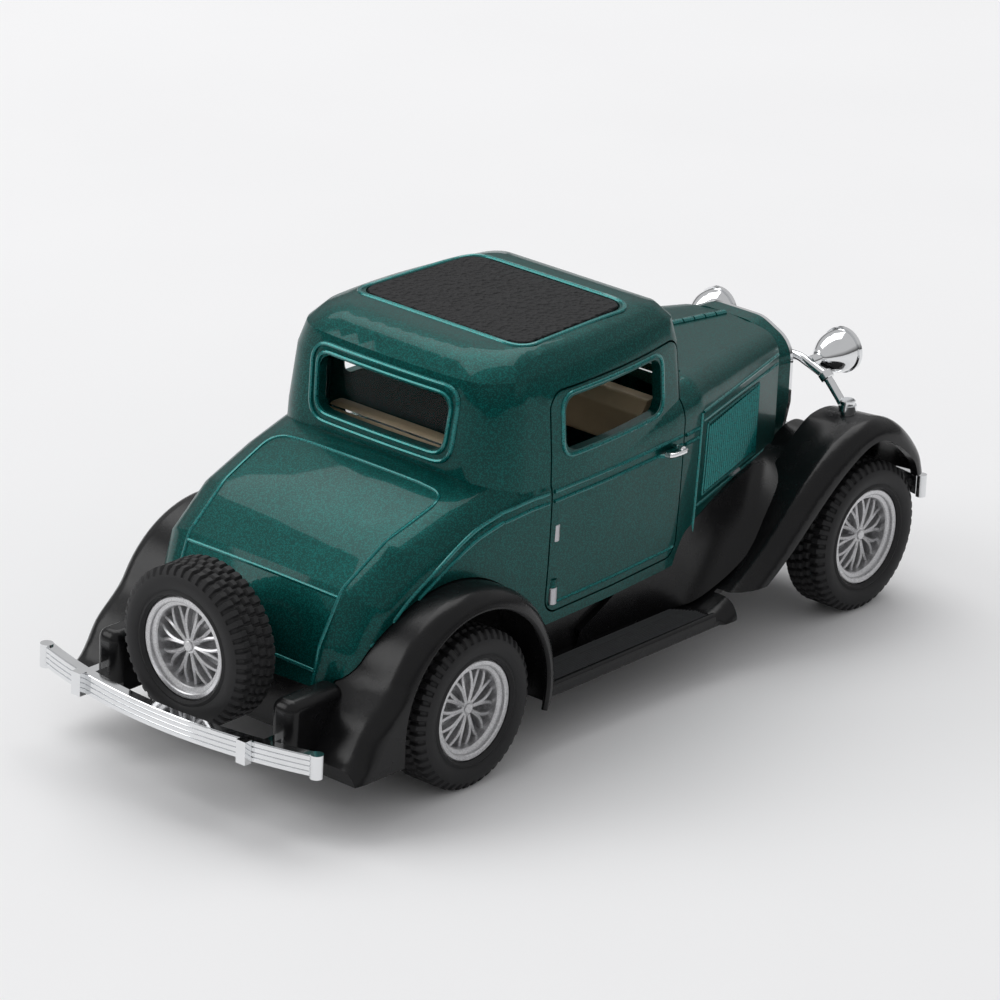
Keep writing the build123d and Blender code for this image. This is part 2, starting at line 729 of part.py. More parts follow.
with BuildPart() as headlamp_bar:
    with BuildLine() as bar_path:
        FilletPolyline(
            (lamp_bar_x, -17.4, 26.2),
            (lamp_bar_x, -13.6, 30.2),
            (lamp_bar_x, -9.0, 31.8),
            (lamp_bar_x, 9.0, 31.8),
            (lamp_bar_x, 13.6, 30.2),
            (lamp_bar_x, 17.4, 26.2),
            radius=3.0,
        )
    with BuildSketch(Plane(origin=bar_path.line @ 0, z_dir=bar_path.line % 0)):
        Circle(0.6)
    sweep()
    for side in (1, -1):
        with Locations((lamp_bar_x, side * 17.2, 26.9)):
            Cylinder(1.2, 1.0)
        with BuildSketch(Plane.YZ.offset(lamp_bar_x)):
            with Locations((side * lamp_y, lamp_z)):
                Circle(0.75)
        extrude(amount=lamp_x - 1.2 - lamp_bar_x)
    add(fender_moulding.part, mode=Mode.SUBTRACT)
    for side in (1, -1):
        with Locations(Plane(origin=(lamp_x, side * lamp_y, lamp_z), z_dir=(1, 0, 0))):
            Cylinder(lamp_radius + 0.3, 2.4, mode=Mode.SUBTRACT)
headlamp_bar.part.label = "headlamp_bar"
export_step(headlamp_bar.part, "parts/headlamp_bar.step")

for name, side in (("left", 1), ("right", -1)):
    with BuildPart() as lamp_shell:
        with BuildSketch(Plane(origin=(lamp_x, side * lamp_y, lamp_z), x_dir=(1, 0, 0), z_dir=(0, -1, 0))):
            with BuildLine():
                bowl = Spline(
                    (2.4, lamp_radius),
                    (-0.6, 2.5),
                    (-2.6, 1.3),
                    (-3.2, 0),
                    tangents=((-1, 0), (0, -1)),
                )
                Line(bowl @ 1, (2.4, 0))
                Line((2.4, 0), bowl @ 0)
            make_face()
            with Locations((2.1, 1.55)):
                Rectangle(0.6, 3.1)
            with Locations((2.2, 1.2)):
                Rectangle(1.4, 2.4, mode=Mode.SUBTRACT)
        revolve(axis=Axis((lamp_x, side * lamp_y, lamp_z), (1, 0, 0)))
        add(headlamp_bar.part, mode=Mode.SUBTRACT)
    lamp_shell.part.label = "headlamp_shell_" + name
    export_step(lamp_shell.part, "parts/headlamp_shell_" + name + ".step")
    with BuildPart() as lamp_lens:
        with Locations(Plane(origin=(lamp_x + 2.3, side * lamp_y, lamp_z), z_dir=(1, 0, 0))):
            Cylinder(2.35, 0.6)
    lamp_lens.part.label = "headlamp_lens_" + name
    export_step(lamp_lens.part, "parts/headlamp_lens_" + name + ".step")

# ---------------------------------------------------------------- wheels and tyres
rim_depth = 5.6
spoke_count = 12


def rim(centre):
    """A spoked wheel on its own plane, whose z axis points out of the car."""
    with BuildPart() as wheel:
        with BuildSketch(centre.offset(-rim_depth / 2)):
            Circle(rim_radius)
            Circle(rim_radius - 0.9, mode=Mode.SUBTRACT)
        extrude(amount=rim_depth)
        with BuildSketch(centre.offset(-rim_depth / 2)):
            Circle(2.2)
        extrude(amount=rim_depth - 0.6)
        with BuildSketch(centre.offset(rim_depth / 2 - 2.4)):
            Circle(rim_radius - 0.5)
            with PolarLocations(3.9, spoke_count):
                SlotOverall(2.6, 1.1, mode=Mode.SUBTRACT)
        extrude(amount=1.0)
        with BuildSketch(centre.offset(-rim_depth / 2)):
            Circle(axle_radius)
        extrude(amount=rim_depth - 1.6, mode=Mode.SUBTRACT)
    return wheel.part


def tyre(centre):
    """A rubber tyre with rounded shoulders, stretched over its rim."""
    half = tyre_width / 2
    with BuildPart() as ring:
        with BuildSketch(Plane(origin=centre.origin, x_dir=centre.x_dir, z_dir=centre.y_dir)):
            with BuildLine():
                FilletPolyline(
                    (rim_radius, -half + 0.5),
                    (rim_radius + 0.8, -half),
                    (tyre_radius - 1.0, -half),
                    (tyre_radius, -half + 1.2),
                    (tyre_radius, half - 1.2),
                    (tyre_radius - 1.0, half),
                    (rim_radius + 0.8, half),
                    (rim_radius, half - 0.5),
                    radius=0.3,
                    close=True,
                )
            make_face()
        revolve(axis=Axis(centre.origin, centre.z_dir))
    return ring.part


wheel_places = (
    ("front_left", front_axle_x, front_wheel_y, 1),
    ("front_right", front_axle_x, -front_wheel_y, -1),
    ("rear_left", rear_axle_x, rear_wheel_y, 1),
    ("rear_right", rear_axle_x, -rear_wheel_y, -1),
)
for name, x, y, side in wheel_places:
    hub = Plane(origin=(x, y, axle_z), x_dir=(1, 0, 0), z_dir=(0, side, 0))
    wheel_rim = rim(hub)
    wheel_rim.label = "rim_" + name
    export_step(wheel_rim, "parts/rim_" + name + ".step")
    wheel_tyre = tyre(hub)
    wheel_tyre.label = "tyre_" + name
    export_step(wheel_tyre, "parts/tyre_" + name + ".step")

for name, x, y in (("front_axle", front_axle_x, front_wheel_y), ("rear_axle", rear_axle_x, rear_wheel_y)):
    reach = y + rim_depth / 2 - 1.6
    with BuildPart() as axle:
        with BuildSketch(Plane.XZ.offset(-reach)):
            with Locations((x, axle_z)):
                Circle(axle_radius)
        extrude(amount=2 * reach)
    axle.part.label = name
    export_step(axle.part, "parts/" + name + ".step")

# ---------------------------------------------------------------- spare wheel
spare_x = -54.6
spare_z = 18.9
spare_plane = Plane(origin=(spare_x, 0, spare_z), x_dir=(0, 1, 0), z_dir=(-1, 0, 0))
spare_rim = rim(spare_plane)
spare_rim.label = "spare_rim"
export_step(spare_rim, "parts/spare_rim.step")
spare_tyre = tyre(spare_plane)
spare_tyre.label = "spare_tyre"
export_step(spare_tyre, "parts/spare_tyre.step")

with BuildPart() as spare_carrier:
    with BuildSketch(Plane.YZ.offset(spare_x + rim_depth / 2)):
        with Locations((0, spare_z)):
            Circle(3.0)
    extrude(amount=spare_x * -1 - 46.5 - rim_depth / 2)
    with BuildSketch(Plane.YZ.offset(spare_x + 1.0)):
        with Locations((0, spare_z)):
            Circle(axle_radius)
    extrude(amount=rim_depth / 2 - 0.9)
    add(body_shell.part, mode=Mode.SUBTRACT)
spare_carrier.part.label = "spare_carrier"
export_step(spare_carrier.part, "parts/spare_carrier.step")

# ---------------------------------------------------------------- pull-back motor
gear_module = 0.6
axle_teeth = 12
spring_teeth = 18
clutch_gap = 1.8
gear_low_y = 1.0
gear_width = 2.0
gear_tilt = 95.0
gear_gap = gear_module * (axle_teeth + spring_teeth) / 2 + clutch_gap
spring_x = rear_axle_x + gear_gap * cos(radians(gear_tilt))
spring_z = axle_z + gear_gap * sin(radians(gear_tilt))
arbor_radius = 1.2
case_half_y = 5.4
case_wall = 0.9
case_radius = 8.6


def gear(x, z, teeth, start, low_y, width, bore):
    """A spur gear on an axis across the car, with one tooth pointing at angle `start`."""
    pitch = gear_module * teeth / 2
    root = pitch - 1.15 * gear_module
    tip = pitch + 0.7 * gear_module
    root_half = 0.34 * gear_module * pi
    tip_half = 0.11 * gear_module * pi
    tooth = (
        (root * 0.9, -root_half),
        (root, -root_half),
        (tip, -tip_half),
        (tip, tip_half),
        (root, root_half),
        (root * 0.9, root_half),
    )
    with BuildPart() as wheel:
        with BuildSketch(Plane(origin=(x, low_y + width, z), x_dir=(1, 0, 0), z_dir=(0, -1, 0))):
            Circle(root)
            with PolarLocations(0, teeth, start_angle=start):
                Polygon(*tooth, align=None)
            if bore > 0:
                Circle(bore, mode=Mode.SUBTRACT)
        extrude(amount=width)
    return wheel.part


axle_gear = gear(rear_axle_x, axle_z, axle_teeth, gear_tilt, gear_low_y, gear_width, axle_radius)
axle_gear.label = "axle_gear"
export_step(axle_gear, "parts/axle_gear.step")

spring_gear_start = gear_tilt + 180 + 180 / spring_teeth
with BuildPart() as spring_gear:
    add(gear(spring_x, spring_z, spring_teeth, spring_gear_start, gear_low_y, gear_width, 0))
    with BuildSketch(Plane.XZ.offset(-case_half_y + 0.05)):
        with Locations((spring_x, spring_z)):
            Circle(arbor_radius)
    extrude(amount=2 * case_half_y - 0.1)
spring_gear.part.label = "spring_gear"
export_step(spring_gear.part, "parts/spring_gear.step")


def case_outline(grow):
    """Side view of the motor case: round over the spring, square at the axle."""
    with BuildSketch() as outline:
        with Locations((spring_x, spring_z)):
            Circle(case_radius + grow)
        with Locations((spring_x, (spring_z + 4.8) / 2 - grow / 2)):
            Rectangle(2 * (case_radius + grow), spring_z - 4.8 + grow)
    return outline.sketch


def case_half(low_y, high_y, hollow_low_y, hollow_high_y):
    """Half of the motor case, open on its inner side, with its two bearing holes."""
    with BuildPart() as half:
        add(side_prism(case_outline(0), low_y, high_y))
        add(side_prism(case_outline(-case_wall), hollow_low_y, hollow_high_y), mode=Mode.SUBTRACT)
        with BuildSketch(Plane.XZ.offset(-10)):
            with Locations((rear_axle_x, axle_z)):
                Circle(axle_radius + 0.06)
            with Locations((spring_x, spring_z)):
                Circle(arbor_radius + 0.06)
        extrude(amount=20, mode=Mode.SUBTRACT)
    return half.part


motor_case = case_half(-case_half_y, 3.6, -case_half_y + case_wall, 5.0)
motor_case.label = "motor_case"
export_step(motor_case, "parts/motor_case.step")
motor_cover = case_half(3.6, case_half_y, 3.0, case_half_y - case_wall)
motor_cover.label = "motor_cover"
export_step(motor_cover, "parts/motor_cover.step")

spring_turns = 7
spring_inner = arbor_radius + 0.8
spring_pitch = 0.75
spring_band = 0.25
with BuildPart() as mainspring:
    with BuildSketch(Plane.XZ.offset(0.4)):
        with BuildLine():
            edges = []
            for band in (spring_band / 2, -spring_band / 2):
                for turn in range(2 * spring_turns):
                    swing = turn % 2
                    coil_radius = spring_inner + turn * spring_pitch / 2 + band
                    shift = swing * spring_pitch / 2
                    edges.append(CenterArc((spring_x + shift, spring_z), coil_radius, 180 * swing, 180))
            Line(edges[0] @ 0, edges[2 * spring_turns] @ 0)
            Line(edges[2 * spring_turns - 1] @ 1, edges[-1] @ 1)
        make_face()
    extrude(amount=3.6)
mainspring.part.label = "mainspring"
export_step(mainspring.part, "parts/mainspring.step")
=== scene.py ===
import bmesh
import bpy
import math
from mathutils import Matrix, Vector
from mathutils.bvhtree import BVHTree


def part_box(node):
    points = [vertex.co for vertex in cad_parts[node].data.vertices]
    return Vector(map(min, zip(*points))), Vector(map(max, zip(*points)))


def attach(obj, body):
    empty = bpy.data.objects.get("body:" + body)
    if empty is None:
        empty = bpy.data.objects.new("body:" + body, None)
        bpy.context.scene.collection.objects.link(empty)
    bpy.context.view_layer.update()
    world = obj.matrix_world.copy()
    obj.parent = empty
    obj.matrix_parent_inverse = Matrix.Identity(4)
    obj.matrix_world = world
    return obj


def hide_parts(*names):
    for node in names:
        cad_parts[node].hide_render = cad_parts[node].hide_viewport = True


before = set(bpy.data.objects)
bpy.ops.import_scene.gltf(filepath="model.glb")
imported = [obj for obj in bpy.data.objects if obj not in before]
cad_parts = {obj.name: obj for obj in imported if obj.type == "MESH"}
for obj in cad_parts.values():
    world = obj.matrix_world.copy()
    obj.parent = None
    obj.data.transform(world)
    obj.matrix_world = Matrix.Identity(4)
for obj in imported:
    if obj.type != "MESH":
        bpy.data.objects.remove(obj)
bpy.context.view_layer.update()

# --------------------------------------------------------------- fender moulding and floor plate
# The lowest part is one moulding in black semi-gloss plastic: four fenders, two running boards
# and the splash aprons. A floor plate is screwed under it and holds the axle pins in their slots.
MM = 0.001


class Signal:
    """One output of a shader node, so that shader maths reads as an expression."""

    def __init__(self, tree, socket):
        self.tree = tree
        self.socket = socket

    def maths(self, operation, first, second):
        node = self.tree.nodes.new("ShaderNodeMath")
        node.operation = operation
        for slot, value in zip(node.inputs, (first, second)):
            if isinstance(value, Signal):
                self.tree.links.new(value.socket, slot)
            else:
                slot.default_value = value
        return Signal(self.tree, node.outputs[0])

    def __add__(self, other):
        return self.maths("ADD", self, other)

    def __mul__(self, other):
        return self.maths("MULTIPLY", self, other)

    def over(self, limit):
        return self.maths("GREATER_THAN", self, limit)

    __radd__ = __add__
    __rmul__ = __mul__


class Finish:
    """A surface finish: a Principled shader with whatever drives it."""

    def __init__(self, name, **constants):
        self.material = bpy.data.materials.new(name)
        self.material.use_nodes = True
        self.tree = self.material.node_tree
        self.shader = self.tree.nodes["Principled BSDF"]
        for socket, value in constants.items():
            self.shader.inputs[socket.replace("_", " ")].default_value = value

    def node(self, kind, settings, inputs, output=0):
        """Any node: its settings are set first, then the values or links of its sockets."""
        node = self.tree.nodes.new(kind)
        for key, value in settings.items():
            if key == "stops":
                for stop, (place, colour) in zip(node.color_ramp.elements, value):
                    stop.position = place
                    stop.color = colour
            else:
                setattr(node, key, value)
        for key, value in inputs.items():
            if isinstance(value, Signal):
                self.tree.links.new(value.socket, node.inputs[key])
            else:
                node.inputs[key].default_value = value
        return Signal(self.tree, node.outputs[output])

    def drive(self, socket, signal):
        self.tree.links.new(signal.socket, self.shader.inputs[socket])

    def place(self):
        """Where a point lies on the car, in metres."""
        return self.node("ShaderNodeTexCoord", {}, {}, "Object")

    def noise(self, per_mm, detail=3.0, output=0):
        return self.node(
            "ShaderNodeTexNoise",
            {},
            {"Vector": self.place(), "Scale": per_mm / MM, "Detail": detail},
            output,
        )

    def cells(self, per_mm, output=0):
        return self.node("ShaderNodeTexVoronoi", {}, {"Vector": self.place(), "Scale": per_mm / MM}, output)

    def colours(self, amount, low, high):
        return self.node(
            "ShaderNodeMix", {"data_type": "RGBA"}, {"Factor": amount, 6: (*low, 1), 7: (*high, 1)}, 2
        )

    def bump(self, height, depth_mm, strength=1.0):
        self.drive(
            "Normal",
            self.node(
                "ShaderNodeBump",
                {},
                {"Height": height, "Distance": depth_mm * MM, "Strength": strength},
            ),
        )


def wear(target, finish):
    """Gives a piece or a CAD node its one finish."""
    target.data.materials.clear()
    target.data.materials.append(finish.material)


def black_moulding():
    finish = Finish("black_moulding", Specular_IOR_Level=0.26)
    mottle = finish.noise(0.5, 4.0)
    finish.drive("Base Color", finish.colours(mottle, (0.004, 0.004, 0.0045), (0.008, 0.008, 0.0085)))
    finish.drive("Roughness", 0.20 + mottle * 0.12)
    finish.bump(finish.noise(4.0, 2.0), 0.02, 0.35)
    return finish


moulding_black = black_moulding()
for name in ("fender_moulding", "chassis_pan", "spare_carrier"):
    wear(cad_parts[name], moulding_black)


def piece(name, points, faces, finish, body):
    """A new piece from points in millimetres, riding on a CAD body."""
    mesh = bpy.data.meshes.new(name)
    mesh.from_pydata([(x * MM, y * MM, z * MM) for x, y, z in points], [], faces)
    mesh.validate()
    part = bpy.data.objects.new(name, mesh)
    bpy.context.scene.collection.objects.link(part)
    tidy_faces(part)
    if finish:
        wear(part, finish)
    if body:
        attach(part, body)
    return part


def tidy_faces(part, sharp_degrees=32, outward=True):
    """Keeps real edges crisp on an otherwise smooth piece, and can turn every face outward."""
    shape = bmesh.new()
    shape.from_mesh(part.data)
    bmesh.ops.remove_doubles(shape, verts=shape.verts, dist=1e-7)
    if outward:
        bmesh.ops.recalc_face_normals(shape, faces=shape.faces)
    for edge in shape.edges:
        edge.smooth = not (edge.is_manifold and edge.calc_face_angle(0.0) > math.radians(sharp_degrees))
    for face in shape.faces:
        face.smooth = True
    shape.to_mesh(part.data)
    shape.free()


def ring_faces(rings, around, closed_around=True, closed_along=False):
    """Quads between neighbouring rings of `around` points."""
    faces = []
    for ring in range(rings if closed_along else rings - 1):
        after = (ring + 1) % rings
        for k in range(around if closed_around else around - 1):
            beside = (k + 1) % around
            here, there = ring * around, after * around
            faces.append((here + k, here + beside, there + beside, there + k))
    return faces


def smooth_path(points, steps=8):
    """A smooth run through given points, in millimetres."""
    path = [Vector(p) for p in points]
    path = [2 * path[0] - path[1]] + path + [2 * path[-1] - path[-2]]
    run = []
    for a, b, c, d in zip(path, path[1:], path[2:], path[3:]):
        for step in range(steps):
            t = step / steps
            square = (2 * a - 5 * b + 4 * c - d) * t**2
            cube = (3 * b - a - 3 * c + d) * t**3
            run.append(0.5 * (2 * b + (c - a) * t + square + cube))
    return run + [path[-2]]


def rod(name, path, width, height, normals, finish, body, sides=10):
    """A bead, bar or wire along a path: `height` stands along the normals, `width` across."""
    points = []
    for i, here in enumerate(path):
        along = (path[min(i + 1, len(path) - 1)] - path[max(i - 1, 0)]).normalized()
        up = normals[i] if isinstance(normals, list) else Vector(normals)
        across = along.cross(up).normalized()
        up = across.cross(along).normalized()
        for k in range(sides):
            angle = 2 * math.pi * k / sides
            points.append(here + up * height * math.cos(angle) + across * width * math.sin(angle))
    faces = ring_faces(len(path), sides)
    faces += [tuple(range(sides))[::-1], tuple(len(points) - sides + k for k in range(sides))]
    return piece(name, points, faces, finish, body)


# the rolled lip round each rear wheel opening
AXLE_RADIUS = 1.0
axle_rear_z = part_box("rear_axle")[0].z / MM + AXLE_RADIUS
axle_rear_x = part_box("rear_axle")[0].x / MM + AXLE_RADIUS
LIP = 0.42
LIP_REACH = 13.3
LIP_STEPS = 48
fender_rear_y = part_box("fender_moulding")[1].y / MM - 0.45
for side, name in ((1, "left"), (-1, "right")):
    arch = []
    for step in range(LIP_STEPS + 1):
        angle = math.radians(-16 + step * 196 / LIP_STEPS)
        arch.append(
            Vector((
                axle_rear_x + LIP_REACH * math.cos(angle),
                side * fender_rear_y,
                axle_rear_z + LIP_REACH * math.sin(angle),
            ))
        )
    rod("rear_fender_lip_" + name, arch, LIP, LIP, (0, side, 0), moulding_black, "chassis")


# The ribs are the black moulding painted several times lighter: a painted highlight for light catching the
# rib tops, with a random scuffed tone over it.
def ribbed_rubber():
    finish = Finish("board_ribs_painted_highlight", Specular_IOR_Level=0.4)
    scuff_and_sheen = finish.noise(0.8, 4.0)
    finish.drive("Base Color", finish.colours(scuff_and_sheen, (0.020, 0.022, 0.024), (0.036, 0.039, 0.042)))
    finish.drive("Roughness", 0.42 + scuff_and_sheen * 0.15)
    return finish


ribs = ribbed_rubber()
RIB_COUNT = 13
RIB_PITCH = 0.36
RIB_Z = 8.46
for side, name in ((1, "left"), (-1, "right")):
    for k in range(RIB_COUNT):
        across = side * (17.3 + RIB_PITCH * k)
        reach = 15.6 - (0.9 - 0.13 * k if k < 7 else 0.0) * 2
        line = [Vector((x, across, RIB_Z)) for x in (-15.2, 0, reach)]
        rib = rod("board_rib_%s_%02d" % (name, k), line, 0.09, 0.20, (0, 0, 1), ribs, "chassis", 6)


def smoothed(name, node, finish, body, sharp_degrees=28):
    """The CAD node's own form with its shallow bends blended, for a cast and lacquered skin."""
    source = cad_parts[node]
    part = bpy.data.objects.new(name, source.data.copy())
    bpy.context.scene.collection.objects.link(part)
    for key in [a.name for a in part.data.attributes if a.name == "custom_normal"]:
        part.data.attributes.remove(part.data.attributes[key])
    tidy_faces(part, sharp_degrees, False)
    weighted = part.modifiers.new("even_shading", "WEIGHTED_NORMAL")
    weighted.keep_sharp = True
    wear(part, finish)
    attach(part, body)
    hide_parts(node)
    return part


fenders = smoothed(
    "fender_skin", "fender_moulding", moulding_black, "chassis", 34
)

# the front fenders bank down from their crowns to the hood, and the outer edge ends at the board
CREST_Y = 13.4
CROWN_Y = 20.6
BANK = 3.2
BOARD_EDGE = 22.6
VALLEY_STEPS = 8
VALLEY_COLUMNS = VALLEY_STEPS + 2
for vertex in fenders.data.vertices:
    x, y, z = vertex.co / MM
    inboard = CROWN_Y - abs(y)
    crest = max(0.0, min(1.0, (x - 18) / 12)) * (1 - 0.8 * max(0.0, min(1.0, (x - 36) / 9)))
    if inboard > 0 and abs(y) > CREST_Y - 0.1 and x > 18 and z > 10:
        vertex.co.z -= MM * BANK * crest * (inboard / (CROWN_Y - CREST_Y)) ** 0.8
    if 14.5 < x < 17.2 and abs(y) > BOARD_EDGE:
        vertex.co.y = math.copysign(BOARD_EDGE, y) * MM

# a thin panel fills the valley between each front fender and the hood
for side, name in ((1, "left"), (-1, "right")):
    upper = smooth_path([
        (-4.5, 17.6, 11.0), (-0.1, 17.4, 12.9), (7.4, 17.2, 16.4), (13, 17.1, 18.3), (18, 16.6, 19.3),
        (27, 14.6, 20.5), (35, 12.4, 21.0), (42, 10.4, 21.4),
    ], 6)
    lower = smooth_path([
        (-4.5, 16.7, 8.5), (-0.1, 16.7, 8.5), (7.4, 16.8, 8.5), (13, 17.2, 8.6), (18, 18.8, 9.6),
        (27, 19.0, 13.2), (35, 16.8, 18.6), (42, 14.6, 22.2),
    ], 6)
    sheet_points = []
    for high, low in zip(upper, lower):
        bend = Vector((high.x, high.y + 0.33 * (low.y - high.y), low.z + 0.30 * (high.z - low.z)))
        start = Vector((high.x, high.y - 2.2, high.z + 0.35))
        for step in range(VALLEY_STEPS + 1):
            t = step / VALLEY_STEPS
            spot = high * (1 - t) ** 2 + 2 * t * (1 - t) * bend + low * t**2
            sheet_points.append((spot.x, side * spot.y, spot.z))
        sheet_points.append((start.x, side * start.y, start.z))
    order = [VALLEY_COLUMNS - 1] + list(range(VALLEY_COLUMNS - 1))
    sheet_points = [
        sheet_points[row * VALLEY_COLUMNS + k] for row in range(len(upper)) for k in order
    ]
    valley_faces = ring_faces(len(upper), VALLEY_COLUMNS, False)
    valley = piece("fender_valley_" + name, sheet_points, valley_faces, moulding_black, "chassis")

# --------------------------------------------------------------- axles and wheels
# Steel pins carry plastic wheels sprayed silver, with ten forked spokes and a ringed cap.
# The tyres are stretched-on rubber with a chunky block tread.
TYRE_R = (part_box("tyre_rear_left")[1].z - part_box("tyre_rear_left")[0].z) / MM / 2
TYRE_W = (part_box("tyre_rear_left")[1].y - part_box("tyre_rear_left")[0].y) / MM
RIM_R = (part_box("rim_rear_left")[1].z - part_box("rim_rear_left")[0].z) / MM / 2


def tyre_rubber():
    finish = Finish("tyre_rubber", Specular_IOR_Level=0.35)
    dust = finish.noise(0.7, 5.0)
    finish.drive("Base Color", finish.colours(dust, (0.008, 0.008, 0.009), (0.022, 0.022, 0.023)))
    finish.drive("Roughness", 0.5 + dust * 0.22)
    finish.bump(finish.noise(6.0, 3.0), 0.02, 0.5)
    return finish


def silver_rim():
    finish = Finish("silver_rim", Metallic=0.85, Specular_IOR_Level=0.5)
    flake = finish.cells(9.0, "Color")
    grain = finish.node("ShaderNodeSeparateColor", {}, {"Color": flake})
    finish.drive("Base Color", finish.colours(grain, (0.50, 0.50, 0.51), (0.74, 0.74, 0.75)))
    finish.drive("Roughness", 0.30 + grain * 0.18)
    finish.bump(finish.noise(5.0, 2.0), 0.012, 0.4)
    return finish


def steel_pin():
    finish = Finish("steel_pin", Metallic=1.0)
    drawn = finish.noise(3.0, 4.0)
    finish.drive("Base Color", finish.colours(drawn, (0.42, 0.42, 0.44), (0.56, 0.56, 0.58)))
    finish.drive("Roughness", 0.25 + drawn * 0.2)
    return finish


rubber = tyre_rubber()
silver = silver_rim()
steel = steel_pin()
for name in ("front_axle", "rear_axle", "chassis_screws"):
    wear(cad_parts[name], steel)

TREAD_ROUND = 336
TREAD_BLOCKS = 48
TREAD_DEPTH = 0.42


def tyre_profile():
    """Half widths and radii from the inner bead over the tread to the outer bead."""
    half = TYRE_W / 2
    side = [(half - 0.55, RIM_R + 0.02), (half - 0.12, RIM_R + 0.35), (half - 0.30, RIM_R + 0.75),
            (half - 0.05, RIM_R + 1.1), (half, RIM_R + 1.9), (half - 0.08, TYRE_R - 1.25),
            (half - 0.22, TYRE_R - 1.0), (half - 0.36, TYRE_R - 0.7), (half - 0.66, TYRE_R - 0.26)]
    tread = [(half - 0.95 - 0.305 * k, TYRE_R) for k in range(9)]
    right = side + tread
    return [(-w, r) for w, r in right] + [(w, r) for w, r in reversed(right)]


def tread_cut(turn, width, radius):
    """How deep the tread is cut at one place: staggered blocks and three grooves."""
    half = TYRE_W / 2
    if radius < TYRE_R - 0.8:
        return 0.0
    row = abs(width) / half
    phase = turn * TREAD_BLOCKS + (0.5 if width > 0 else 0.0) + (0.25 if row < 0.36 else 0.0)
    gap = abs((phase % 1.0) - 0.5)
    across = gap > 0.34
    along = 0.30 < row < 0.38 or row < 0.035
    return TREAD_DEPTH if across or along else 0.0


def tyre_mesh(name, node, axis, body):
    low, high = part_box(node)
    centre = (low + high) / 2 / MM
    profile = tyre_profile()
    points = []
    for step in range(TREAD_ROUND):
        turn = step / TREAD_ROUND
        angle = 2 * math.pi * turn
        for width, radius in profile:
            reach = radius - tread_cut(turn, width, radius)
            if axis == "y":
                spot = (reach * math.cos(angle), width, reach * math.sin(angle))
            else:
                spot = (width, reach * math.cos(angle), reach * math.sin(angle))
            points.append(centre + Vector(spot))
    made = piece(name, points, ring_faces(TREAD_ROUND, len(profile), True, True), rubber, body)
    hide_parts(node)


SPOKES = 10


def revolve(name, profile, centre, outward, finish, body, around=72):
    """A turned piece: (radius, distance outward) pairs about an axis through `centre`."""
    axis = Vector(outward)
    first = Vector((1, 0, 0)) if abs(axis.x) < 0.5 else Vector((0, 1, 0))
    second = axis.cross(first)
    points = []
    for step in range(around):
        angle = 2 * math.pi * step / around
        spoke = first * math.cos(angle) + second * math.sin(angle)
        points += [Vector(centre) + spoke * radius + axis * out for radius, out in profile]
    return piece(name, points, ring_faces(around, len(profile), True, True), finish, body)


def joined(name, parts):
    """Several meshes of one moulding made into one piece."""
    merged = bmesh.new()
    for part in parts:
        merged.from_mesh(part.data)
    merged.to_mesh(parts[0].data)
    merged.free()
    for part in parts[1:]:
        bpy.data.objects.remove(part)
    parts[0].name = name
    return parts[0]


def rim_mesh(name, node, outward, body):
    low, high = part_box(node)
    axis = Vector(outward)
    half = (high - low).dot(Vector([abs(v) for v in outward])) / MM / 2
    centre = (low + high) / 2 / MM
    barrel = [
        (RIM_R, -half), (RIM_R, half - 0.45), (RIM_R - 0.02, half - 0.15), (RIM_R - 0.2, half),
        (RIM_R - 0.66, half), (RIM_R - 0.80, half - 0.12), (RIM_R - 0.84, half - 0.5),
        (RIM_R - 1.28, half - 0.62), (RIM_R - 1.42, half - 0.8), (RIM_R - 1.52, half - 2.7),
        (RIM_R - 1.0, half - 3.2), (RIM_R - 1.0, -half),
    ]
    hub = [
        (0.01, half - 0.75), (0.55, half - 0.77), (0.66, half - 0.86), (0.7, half - 1.02),
        (0.92, half - 1.06),
        (1.02, half - 1.2), (1.06, half - 1.42), (1.3, half - 1.55), (1.42, half - 1.8), (1.45, half - 3.0),
        (1.45, -half + 0.2), (0.01, -half + 0.2),
    ]
    parts = [
        revolve(name + "_barrel", barrel, centre, outward, silver, None),
        revolve(name + "_hub", hub, centre, outward, silver, None),
    ]
    backing = [
        (1.3, half - 3.9), (RIM_R - 0.8, half - 3.9), (RIM_R - 0.8, half - 4.4), (1.3, half - 4.4),
    ]
    parts.append(revolve(name + "_back", backing, centre, outward, silver, None))
    first = Vector((1, 0, 0)) if abs(axis.x) < 0.5 else Vector((0, 1, 0))
    second = axis.cross(first)
    for spoke in range(SPOKES):
        for fork in (-1, 1):
            path = []
            for step in range(6):
                t = step / 5
                angle = 2 * math.pi * spoke / SPOKES + fork * (0.03 + 0.17 * t**2.2)
                reach = 0.9 + (RIM_R - 1.35 - 0.9) * t
                out = half - 1.55 - 0.55 * t + 0.25 * math.sin(math.pi * t)
                spoke_line = first * math.cos(angle) + second * math.sin(angle)
                path.append(centre + spoke_line * reach + axis * out)
            parts.append(rod(name + "_spoke", path, 0.30, 0.60, axis, silver, None, 8))
    made = joined(name, parts)
    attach(made, body)
    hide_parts(node)


for end in ("front", "rear"):
    for name, side in (("left", 1), ("right", -1)):
        place = end + "_" + name
        tyre_mesh("tread_tyre_" + place, "tyre_" + place, "y", end + "_wheels")
        rim_mesh("spoked_rim_" + place, "rim_" + place, (0, side, 0), end + "_wheels")

# --------------------------------------------------------------- pull-back motor
# A two-part case under the deck holds the coiled spring on its arbor. The arbor's gear stands clear
# of the rear axle's gear, as it does when the clutch is out.


def case_plastic():
    finish = Finish("case_plastic")
    mottle = finish.noise(1.0, 3.0)
    finish.drive("Base Color", finish.colours(mottle, (0.02, 0.02, 0.022), (0.035, 0.035, 0.037)))
    finish.drive("Roughness", 0.42 + mottle * 0.12)
    finish.bump(finish.noise(5.0, 2.0), 0.02, 0.4)
    return finish


